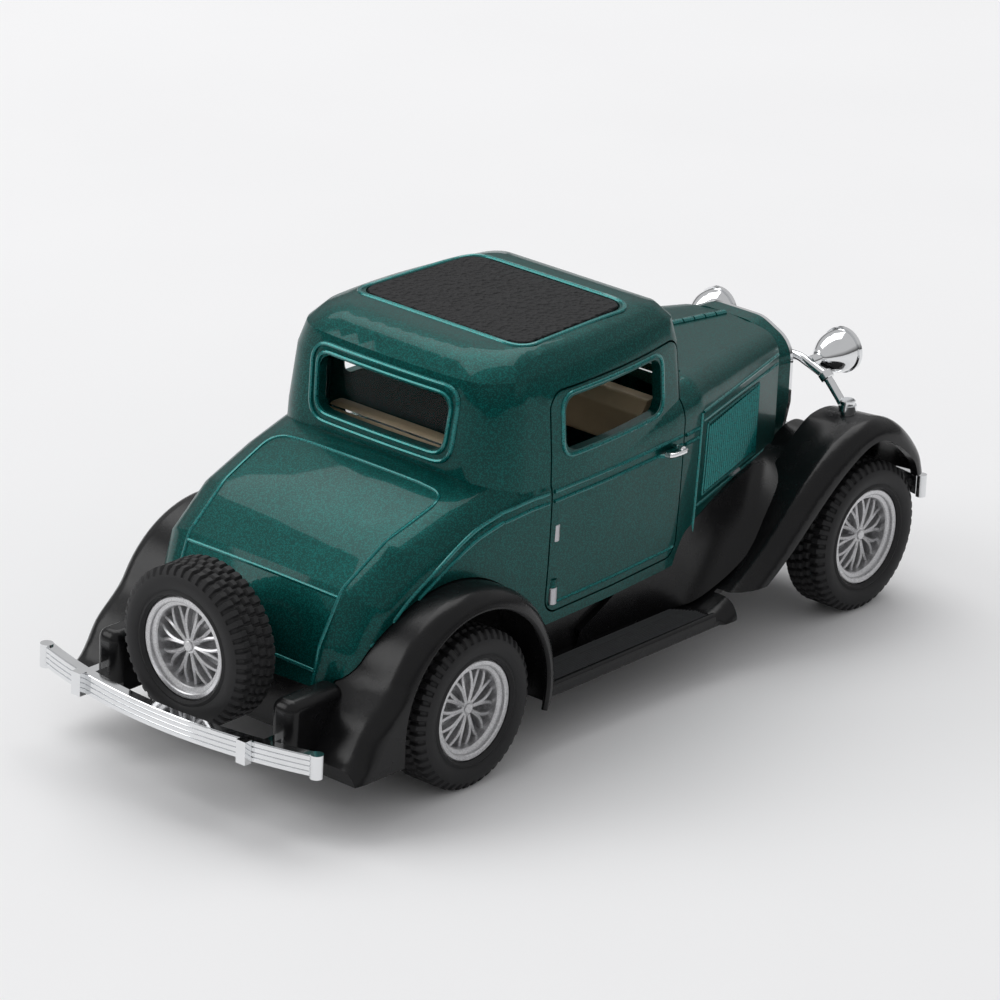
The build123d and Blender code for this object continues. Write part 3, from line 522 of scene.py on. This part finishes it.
def gear_nylon():
    finish = Finish("gear_nylon", Specular_IOR_Level=0.45)
    cloud = finish.noise(0.8, 3.0)
    finish.drive("Base Color", finish.colours(cloud, (0.66, 0.66, 0.62), (0.78, 0.78, 0.74)))
    finish.drive("Roughness", 0.38 + cloud * 0.14)
    return finish


def blued_spring():
    finish = Finish("blued_spring", Metallic=1.0)
    streak = finish.noise(1.5, 4.0)
    finish.drive("Base Color", finish.colours(streak, (0.09, 0.11, 0.16), (0.22, 0.23, 0.27)))
    finish.drive("Roughness", 0.28 + streak * 0.15)
    return finish


motor_plastic = case_plastic()
nylon = gear_nylon()
wear(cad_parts["motor_case"], motor_plastic)
wear(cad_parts["motor_cover"], motor_plastic)
wear(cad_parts["mainspring"], blued_spring())
wear(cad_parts["axle_gear"], nylon)
wear(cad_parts["spring_gear"], nylon)

# --------------------------------------------------------------- body shell
# A zinc casting in metallic green lacquer: hood, cowl, cabin and rounded tail in one piece.
# Its fine raised beads, hood louvres and ridge are cast with it and catch the light.


def green_lacquer():
    finish = Finish("green_paint", Coat_Roughness=0.04, Coat_IOR=1.5, Specular_IOR_Level=0.12)
    flake = finish.cells(8.5, "Color")
    spark = finish.node("ShaderNodeSeparateColor", {}, {"Color": flake})
    cloud = finish.noise(0.12, 3.0)
    base = finish.colours(cloud, (0.0, 0.043, 0.038), (0.0, 0.054, 0.048))
    finish.drive("Base Color", finish.node(
        "ShaderNodeMix", {"data_type": "RGBA"},
        {"Factor": spark.over(0.66) * 0.34, 6: base, 7: (0.003, 0.19, 0.175, 1)}, 2,
    ))
    finish.drive("Metallic", 0.52 + spark * 0.12)
    finish.drive("Roughness", 0.32 + spark * 0.10)
    finish.drive("Coat Weight", 0.24 + cloud * 0.08)
    finish.bump(finish.noise(0.6, 2.0), 0.01, 0.25)
    return finish


def bead_lacquer_painted_highlight():
    """The same lacquer made lighter on thin raised lines: a painted highlight for light catching the beads.
    """
    finish = Finish("green_paint_highlight_on_beads", Coat_Roughness=0.05, Coat_Weight=0.5)
    spark = finish.node("ShaderNodeSeparateColor", {}, {"Color": finish.cells(7.0, "Color")})
    finish.drive("Base Color", finish.colours(spark, (0.0, 0.11, 0.105), (0.002, 0.21, 0.20)))
    finish.drive("Metallic", 0.55 + spark * 0.15)
    finish.drive("Roughness", 0.26 + spark * 0.10)
    return finish


green = green_lacquer()
highlight_green = bead_lacquer_painted_highlight()


def surface_of(part):
    """A piece's skin in millimetres, for laying beads on it."""
    points = [vertex.co / MM for vertex in part.data.vertices]
    return BVHTree.FromPolygons(points, [tuple(face.vertices) for face in part.data.polygons])


def draped(points, outward, skin, steps=6, reach=14.0):
    """A smooth path laid on a skin, looking at it against `outward`, and the skin's normals."""
    outward = Vector(outward).normalized()
    path, normals = [], []
    for spot in smooth_path(points, steps):
        hit, normal, _, _ = skin.ray_cast(spot + outward * reach, -outward)
        if hit is None:
            hit, normal, _, _ = skin.find_nearest(spot)
        if normal.dot(outward) < 0:
            normal = -normal
        path.append(hit)
        normals.append(normal)
    return path, normals


def bead(name, points, outward, skin, width, height, finish, body, steps=6, sides=8):
    path, normals = draped(points, outward, skin, steps)
    made = rod(name, path, width, height, normals, finish, body, sides)
    return made


body = smoothed("painted_body", "body_shell", green, "chassis")
ROOF_EDGE = 49.9
for vertex in body.data.vertices:
    rise = vertex.co.z / MM - ROOF_EDGE
    if rise > 0:
        vertex.co.z = MM * (ROOF_EDGE + 0.45 * rise)
shell_skin = surface_of(body)
HOOD_FRONT = 43.2
LOUVRES = 25
LOUVRE_PITCH = 0.66
COWL = 18.0
for side, name in ((1, "left"), (-1, "right")):
    out = (0, side, 0)
    for level, drop in (("upper", 0.0), ("lower", -1.25)):
        bead("hood_belt_" + level + "_" + name,
             [(x, side * 16, 34.2 + (COWL - x) * 0.03 + drop)
              for x in (HOOD_FRONT, 36, 29, 23, COWL + 0.3)],
             out, shell_skin, 0.24, 0.24, highlight_green, "chassis")
        bead("cowl_belt_" + level + "_" + name,
             [(x, side * 18, 32.3 + drop) for x in (17.4, 15.8, 14.3)],
             out, shell_skin, 0.26, 0.24, highlight_green, "chassis")
        bead("quarter_belt_" + level + "_" + name,
             [(-13.8, side * 19, 32.5 + drop), (-17.5, side * 19, 32.5 + drop),
              (-22, side * 19, 32.2 + drop)],
             out, shell_skin, 0.26, 0.24, highlight_green, "chassis")
        bead("tail_belt_" + level + "_" + name,
             [(-22, side * 19, 32.2 + drop), (-27, side * 18.6, 30.9 + drop),
              (-32, side * 18.3, 28.4 + drop),
              (-37.5, side * 17.6, 24.8 + drop), (-42, side * 17, 20.6 + drop)],
             (-0.25, side, 0.25), shell_skin, 0.26, 0.24, highlight_green, "chassis", 10)
    for k in range(LOUVRES):
        x = 20.6 + LOUVRE_PITCH * k
        bead("hood_louvre_%s_%02d" % (name, k), [(x, side * 14, z) for z in (22.6, 27, 31.6)],
             out, shell_skin, 0.19, 0.30, highlight_green, "chassis", 3, 6)
    frame_path = [(20.0, 22.2), (20.0, 32.1), (36.9, 31.7), (36.9, 22.0)]
    corners = frame_path + frame_path[:1]
    for k, ((x0, z0), (x1, z1)) in enumerate(zip(corners, corners[1:])):
        middle = ((x0 + x1) / 2, (z0 + z1) / 2)
        bead("louvre_frame_%s_%d" % (name, k),
             [(x0, side * 14, z0), (middle[0], side * 14, middle[1]), (x1, side * 14, z1)],
             out, shell_skin, 0.2, 0.2, highlight_green, "chassis", 8, 6)
    bead("hood_edge_" + name,
         [(x, side * 14, 21.2) for x in (42.8, 36, 30, 24, COWL + 0.3)],
         out, shell_skin, 0.22, 0.2, highlight_green, "chassis")
    bead("cowl_seam_" + name,
         [(COWL, side * 16, 16.5), (COWL, side * 16, 24), (COWL, side * 16, 30),
          (COWL, side * 15.6, 34.2)],
         out, shell_skin, 0.22, 0.2, highlight_green, "chassis")


for side, name in ((1, "left"), (-1, "right")):
    latch_line = [(x, side * 14, 21.7) for x in (29.4, 30.4, 31.4)]
    path, normals = draped(latch_line, (0, side, 0), shell_skin, 3)
    latch = rod("hood_latch_" + name, path, 0.34, 0.5, normals, steel, "chassis", 8)

for k in range(11):
    start = COWL + 0.7 + 2.25 * k
    bead("hood_ridge_%02d" % k, [(start, 0, 40), (start + 1, 0, 40), (start + 2.0, 0, 40)],
         (0, 0, 1), shell_skin, 0.48, 0.46, highlight_green, "chassis", 4, 10)

bead("cowl_top", [(COWL + 0.1, y, 41) for y in (-13, -9, -4, 0, 4, 9, 13)],
     (0, 0, 1), shell_skin, 0.26, 0.24, highlight_green, "chassis")

# the deck lid's outline and the two creases across the tail
deck_out = (-0.75, 0, 0.66)
outline = [(-26.9, -9.5, 34.8), (-27.2, -12.6, 34.6), (-28.3, -13.9, 33.8), (-31.0, -13.9, 32.0),
           (-38.5, -13.0, 27.0), (-44.5, -12.3, 21.0), (-48.2, -11.8, 15.6)]
for side, name in ((1, "left"), (-1, "right")):
    bead("deck_lid_edge_" + name, [(x, -side * y, z) for x, y, z in outline],
         deck_out, shell_skin, 0.24, 0.2, highlight_green, "chassis", 10)
bead("deck_lid_top", [(-26.9, y, 34.8) for y in (-9.5, -4, 0, 4, 9.5)],
     deck_out, shell_skin, 0.24, 0.2, highlight_green, "chassis", 6)
bead("deck_crease_upper", [(-43.5, y, 25) for y in (-12.6, -6, 0, 6, 12.6)],
     deck_out, shell_skin, 0.24, 0.18, highlight_green, "chassis", 6)
bead("deck_crease_lower", [(-47.5, y, 17) for y in (-12.0, -6, 0, 6, 12.0)],
     deck_out, shell_skin, 0.24, 0.18, highlight_green, "chassis", 6)


def rounded(corners, radius, steps=6):
    """A closed outline with rounded corners, through 2-D corner points in order."""
    outline = []
    for before, corner, after in zip(corners[-1:] + corners, corners, corners[1:] + corners[:1]):
        corner = Vector(corner)
        first = (Vector(before) - corner).normalized() * radius
        second = (Vector(after) - corner).normalized() * radius
        for step in range(steps + 1):
            t = step / steps
            outline.append(corner + first * (1 - t) ** 2 + second * t**2)
    return outline


def frame_bead(name, outline, outward, skin, lift, width, height, finish, body):
    """A closed bead round an opening: `lift` turns an outline point into a point near the skin."""
    dense = []
    for a, b in zip(outline, outline[1:] + outline[:1]):
        count = max(1, int((b - a).length / 0.7))
        dense += [a + (b - a) * (k / count) for k in range(count)]
    outward = Vector(outward).normalized()
    path, normals = [], []
    for spot in dense:
        start = Vector(lift(spot))
        hit, normal, _, _ = skin.ray_cast(start + outward * 14, -outward)
        if hit is None or (hit - start).dot(outward) < -2.5:
            hit, normal, _, _ = skin.find_nearest(start)
        path.append(hit)
        normals.append(outward)
    sides = 8
    points = []
    for k, here in enumerate(path):
        along = (path[(k + 1) % len(path)] - path[k - 1]).normalized()
        across = along.cross(normals[k]).normalized()
        for turn in range(sides):
            angle = 2 * math.pi * turn / sides
            points.append(here + normals[k] * height * math.cos(angle) + across * width * math.sin(angle))
    made = piece(name, points, ring_faces(len(path), sides, True, True), finish, body)
    return made


rear_window = [(-10.6, 37.5), (10.6, 37.5), (11.2, 45.4), (-11.2, 45.4)]
for grow, ring in ((0.0, "inner"), (0.95, "outer")):
    corners = [(y + math.copysign(grow, y), z + (grow if z > 41 else -grow)) for y, z in rear_window]
    frame_bead("rear_window_%s_bead" % ring, rounded(corners, 2.2 + grow * 0.5), (-1, 0, 0.12), shell_skin,
               lambda spot: (-23.4, spot.x, spot.y), 0.30, 0.34, highlight_green, "chassis")
roof_corners = [(-14.1, -14.1), (7.9, -13.3), (7.9, 13.3), (-14.1, 14.1)]
frame_bead("roof_bead", rounded(roof_corners, 3.0), (0, 0, 1), shell_skin,
           lambda spot: (spot.x, spot.y, 50.2), 0.34, 0.24, highlight_green, "chassis")

# --------------------------------------------------------------- doors
# Each door is its own casting in the same lacquer, hung on two bright hinges at its rear edge.
# A small bright handle sits low near the front edge; the window has no glass.
DOOR_HINGE_X = -11.9


def bright_metal():
    finish = Finish("chrome", Metallic=1.0)
    haze = finish.noise(0.35, 3.0)
    finish.drive("Base Color", finish.colours(haze, (0.74, 0.75, 0.76), (0.86, 0.87, 0.88)))
    finish.drive("Roughness", 0.05 + haze * 0.06)
    finish.bump(finish.noise(0.5, 2.0), 0.012, 0.3)
    return finish


chrome = bright_metal()


def cylinder(name, centre, axis, radius, length, finish, body, around=24):
    """A short turned pin with eased ends."""
    ease = min(0.12, radius / 3)
    half = length / 2
    profile = [(0.001, half), (radius - ease, half), (radius, half - ease), (radius, -half + ease),
               (radius - ease, -half), (0.001, -half)]
    return revolve(name, profile, centre, axis, finish, body, around)


for side, name in ((1, "left"), (-1, "right")):
    hung = "door_" + name
    door = smoothed("painted_door_" + name, hung, green, hung)
    door_skin = surface_of(door)
    out = (0, side, 0)
    for level, drop in (("upper", 0.0), ("lower", -1.25)):
        bead("door_belt_" + level + "_" + name,
             [(x, side * 19, 32.5 + drop) for x in (-12.8, -6, 0, 7, 13.4)],
             out, door_skin, 0.26, 0.24, highlight_green, hung)
    window = [(-11.1, 36.4), (9.7, 36.4), (9.7, 44.4), (-11.1, 44.4)]
    frame_bead("door_window_bead_" + name, rounded(window, 2.1), out, door_skin,
               lambda spot: (spot.x, side * 18.7, spot.y), 0.28, 0.24, highlight_green, hung)
    bead("door_foot_bead_" + name, [(x, side * 18, 17.4) for x in (-12.6, -6, 0, 7, 13.2)],
         out, door_skin, 0.2, 0.2, highlight_green, hung)
    for level, z in (("low", 18.4), ("high", 26.8)):
        knuckle = cylinder("hinge_%s_%s" % (level, name), (DOOR_HINGE_X, side * 18.72, z), (0, 0, 1),
                           0.76, 2.3, steel, hung)
    handle = [Vector((x, side * y, 31.4)) for x, y in
              ((9.0, 19.0), (9.1, 19.55), (9.6, 19.72), (10.6, 19.78), (11.6, 19.74), (12.1, 19.5))]
    rod("door_handle_" + name, handle, 0.42, 0.36, (0, 0, 1), chrome, hung)
    boss = cylinder("handle_boss_" + name, (11.6, side * 19.15, 31.4), (0, 1, 0), 0.62, 1.1, chrome, hung)

# --------------------------------------------------------------- roof insert and glazing
# The roof has a separate insert with a pressed leather grain, dropped into a recess.
# The windscreen and rear window are clear plastic; the side windows are open.


def leather_grain():
    finish = Finish("leather_grain", Specular_IOR_Level=0.22)
    cells = finish.cells(1.3, "Distance")
    mottle = finish.noise(1.2, 4.0)
    finish.drive("Base Color", finish.colours(mottle, (0.008, 0.008, 0.009), (0.020, 0.020, 0.021)))
    finish.drive("Roughness", 0.42 + mottle * 0.2)
    finish.bump(cells + finish.noise(2.4, 4.0) * 0.6, 0.5, 1.0)
    return finish


def clear_plastic(name, tint):
    finish = Finish(name, Transmission_Weight=1.0, IOR=1.15, Roughness=0.03)
    haze = finish.noise(0.3, 2.0)
    finish.drive("Base Color", finish.colours(haze, tint, (1.0, 1.0, 1.0)))
    return finish


leather = leather_grain()
smoothed("leather_insert", "roof_panel", leather, "chassis")
glazing = clear_plastic("clear_plastic", (0.95, 0.98, 0.97))
wear(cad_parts["windscreen"], glazing)
wear(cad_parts["rear_glass"], glazing)
wind_corners = [(-13.9, 39.6), (13.9, 39.6), (13.5, 46.0), (-13.5, 46.0)]
frame_bead("windscreen_frame", rounded(wind_corners, 1.6), (1, 0, 0.1), shell_skin,
           lambda spot: (15.3, spot.x, spot.y), 0.34, 0.34, chrome, "chassis")

# --------------------------------------------------------------- radiator, headlamps and bumpers
# Plated trim: a slatted grille behind the painted radiator shell, two bullet lamps on a curved
# bar between the fenders, and ribbed bumpers held by clamps on black irons.
for name in ("radiator_grille", "rear_bumper", "front_bumper", "headlamp_bar",
             "headlamp_shell_left", "headlamp_shell_right"):
    wear(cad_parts[name], chrome)
lens = clear_plastic("lens_plastic", (0.92, 0.95, 0.97))
wear(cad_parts["headlamp_lens_left"], lens)
wear(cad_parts["headlamp_lens_right"], lens)
for side, name in ((1, "left"), (-1, "right")):
    for place, x, y, z in (("foot", 48.4, 17.2, 26.9), ("collar", 48.4, 13.4, 30.35)):
        axis = (0, 0, 1) if place == "foot" else (0, side * 0.75, -0.66)
        radius, length = (1.0, 2.4) if place == "foot" else (0.95, 1.1)
        ring = cylinder("lamp_bar_%s_%s" % (place, name), (x, side * y, z), Vector(axis).normalized(),
                        radius, length, chrome, "chassis")

# --------------------------------------------------------------- interior
# One tan moulding makes the bench seat, another the dashboard; the floor tub is dull black.


def tan_plastic():
    finish = Finish("tan_plastic", Specular_IOR_Level=0.4)
    cloud = finish.noise(0.5, 4.0)
    finish.drive("Base Color", finish.colours(cloud, (0.52, 0.40, 0.25), (0.62, 0.49, 0.32)))
    finish.drive("Roughness", 0.44 + cloud * 0.16)
    finish.bump(finish.noise(4.0, 3.0), 0.02, 0.5)
    return finish


tan = tan_plastic()
wear(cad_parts["bench_seat"], tan)
wear(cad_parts["dashboard"], tan)
wear(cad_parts["interior_tub"], moulding_black)
wear(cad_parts["steering_wheel"], moulding_black)
wear(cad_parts["steering_column"], moulding_black)

# --------------------------------------------------------------- spare wheel
# The spare stands on a stub behind the tail, with the same rim and tread as the road wheels.
tyre_mesh("tread_tyre_spare", "spare_tyre", "x", "chassis")
rim_mesh("spoked_rim_spare", "spare_rim", (-1, 0, 0), "chassis")

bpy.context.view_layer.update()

# --------------------------------------------------------------- floor, light and view
# The car stands on matt pale paper under two large soft lights, in a room that is darker low down.
# The view is from behind and to the right, with a long lens.


def studio_floor():
    finish = Finish("floor_paper", Specular_IOR_Level=0.2)
    grain = finish.noise(0.02, 2.0)
    finish.drive("Base Color", finish.colours(grain, (0.86, 0.86, 0.865), (0.89, 0.89, 0.895)))
    finish.drive("Roughness", 0.7 + grain * 0.1)
    return finish


REACH = 4000.0
floor_corners = [(x * REACH, y * REACH, 0) for x, y in ((-1, -1), (1, -1), (1, 1), (-1, 1))]
floor = piece("floor", floor_corners, [(0, 1, 2, 3)], studio_floor(), None)


class Surround(Finish):
    """The glow round the studio, made of the same kind of nodes as a finish."""

    def __init__(self, name):
        world = bpy.data.worlds.new(name)
        world.use_nodes = True
        bpy.context.scene.world = world
        self.tree = world.node_tree
        self.shader = self.tree.nodes["Background"]


studio = Surround("studio")
direction = studio.node("ShaderNodeTexCoord", {}, {}, "Generated")
height = studio.node("ShaderNodeSeparateXYZ", {}, {0: direction}, "Z")
DARK_LOW, PALE_HIGH = 0.10, 0.62
glow = studio.node(
    "ShaderNodeValToRGB",
    {"stops": (
        (0.04, (DARK_LOW, DARK_LOW, DARK_LOW * 1.01, 1)),
        (0.34, (PALE_HIGH, PALE_HIGH, PALE_HIGH * 1.01, 1)),
    )},
    {0: height},
)
studio.drive("Color", glow)
studio.shader.inputs["Strength"].default_value = 0.90


def softbox(name, place, size, power):
    lamp = bpy.data.lights.new(name, "AREA")
    lamp.shape = "RECTANGLE"
    lamp.size, lamp.size_y = size
    lamp.energy = power
    box = bpy.data.objects.new(name, lamp)
    bpy.context.scene.collection.objects.link(box)
    box.location = place
    aim = Vector((0, 0, 0.02)) - Vector(place)
    box.rotation_euler = aim.to_track_quat("-Z", "Y").to_euler()


softbox("overhead", (0.5, 0.7, 1.7), (1.8, 1.3), 17.0)
softbox("left_window", (-1.1, 1.3, 1.0), (1.0, 1.0), 9.0)

CAMERA_AT = Vector((-499.63, -426.20, 285.43))
RIGHT = Vector((0.66072, -0.74958, 0.03960))
UP = Vector((0.25503, 0.27380, 0.92736))
FORWARD = Vector((0.70598, 0.60263, -0.37207))
lens_data = bpy.data.cameras.new("view")
lens_data.lens = 201.5
lens_data.sensor_width = 36.0
lens_data.clip_start = 0.01
lens_data.clip_end = 30.0
view = bpy.data.objects.new("view", lens_data)
bpy.context.scene.collection.objects.link(view)
view.location = CAMERA_AT * MM
turn = view.matrix_world.to_3x3()
for row in range(3):
    turn[row] = (RIGHT[row], UP[row], -FORWARD[row])
view.rotation_mode = "QUATERNION"
view.rotation_quaternion = turn.to_quaternion()
bpy.context.scene.camera = view
bpy.context.scene.view_settings.view_transform = "Standard"
